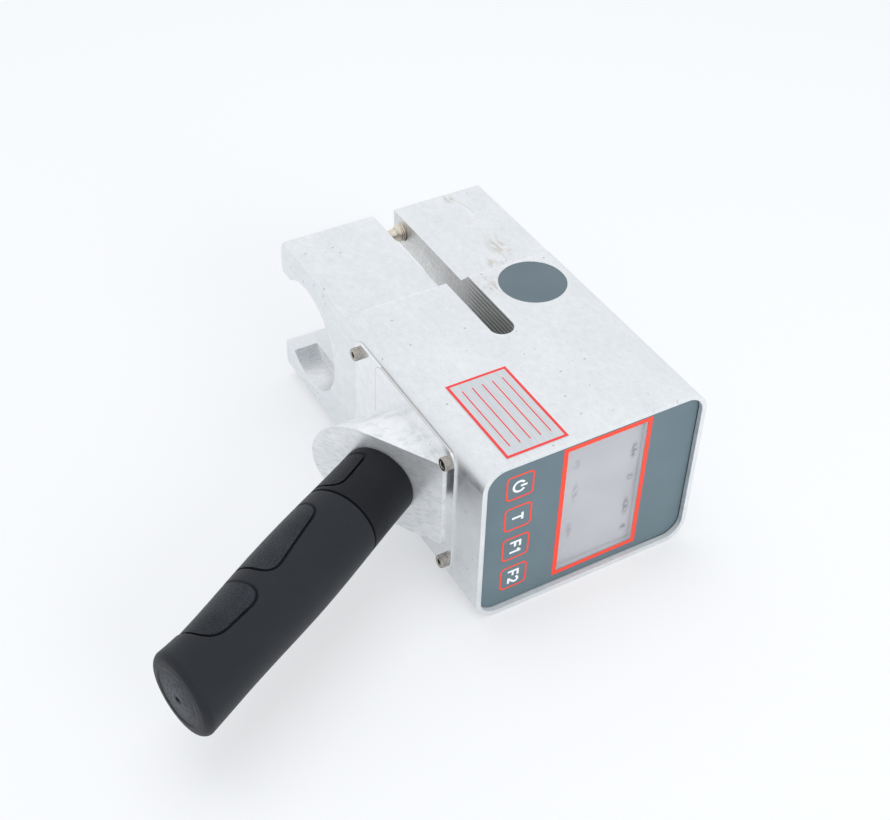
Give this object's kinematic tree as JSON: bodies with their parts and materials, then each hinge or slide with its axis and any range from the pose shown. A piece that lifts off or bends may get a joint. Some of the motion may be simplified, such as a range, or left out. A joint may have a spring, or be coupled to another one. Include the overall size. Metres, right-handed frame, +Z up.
{
  "type": "chain tension meter",
  "caption": "Hand-held chain tension meter: a milled aluminium fork with a chain slot and link seats, a front display with keys, a spring plunger and a slanted rubber side handle.",
  "frame": {"origin": "on the resting face, in the middle of the width, halfway between the display's rim and the inner end of the chain slot", "axes": "+X to the right across the display, +Y from the display to the fork's tips, +Z up out of the resting face"},
  "size_m": [0.2258, 0.1958, 0.0792],
  "materials": {
    "body_aluminium": "satin, blasted",
    "bracket_aluminium": "satin, brushed",
    "steel": "turned",
    "brass": "turned",
    "gauge_foil": "foil",
    "panel_film": "matte print",
    "window": "clear",
    "lcd": "matte",
    "label": "satin foil",
    "rubber": "matte",
    "pad_rubber": "fine texture",
    "black_plastic": "moulded",
    "board": "solder mask"
  },
  "bodies": {
    "meter": {"body_block": "body_aluminium", "gauge_cover": "panel_film", "strain_gauge": "gauge_foil", "gauge_lead": "black_plastic", "label_plate": "label", "front_gasket": "rubber", "front_plate": "bracket_aluminium", "front_plate_screws": "steel", "keypad_film": "panel_film", "display_window": "window", "key_switches": "black_plastic", "lcd_panel": "lcd", "lcd_frame": "black_plastic", "main_board": "board", "board_posts": "steel", "board_screws": "steel", "battery_holder": "black_plastic", "batteries": "steel", "plunger_body": "brass", "plunger_spring": "steel", "handle_bracket": "bracket_aluminium", "bracket_screws": "steel", "handle_tube": "steel", "handle_plug": "steel", "handle_screw": "steel", "grip": "rubber", "grip_pads": "pad_rubber"},
    "key_power_body": {"key_power": "panel_film"},
    "key_tare_body": {"key_tare": "panel_film"},
    "key_f1_body": {"key_f1": "panel_film"},
    "key_f2_body": {"key_f2": "panel_film"},
    "pin": {"plunger_pin": "brass"}
  },
  "joints": [
    {"name": "key_power_press", "type": "slide", "parent": "meter", "child": "key_power_body", "axis": [0, 1, 0], "range_m": [0, 0.0004], "stiffness_N_per_m": 5000},
    {"name": "key_tare_press", "type": "slide", "parent": "meter", "child": "key_tare_body", "axis": [0, 1, 0], "range_m": [0, 0.0004], "stiffness_N_per_m": 5000},
    {"name": "key_f1_press", "type": "slide", "parent": "meter", "child": "key_f1_body", "axis": [0, 1, 0], "range_m": [0, 0.0004], "stiffness_N_per_m": 5000},
    {"name": "key_f2_press", "type": "slide", "parent": "meter", "child": "key_f2_body", "axis": [0, 1, 0], "range_m": [0, 0.0004], "stiffness_N_per_m": 5000},
    {"name": "pin_slide", "type": "slide", "parent": "meter", "child": "pin", "axis": [1, 0, 0], "range_m": [0, 0.004], "stiffness_N_per_m": 1500, "springref_m": -0.002, "deforming": ["plunger_spring"]}
  ]
}
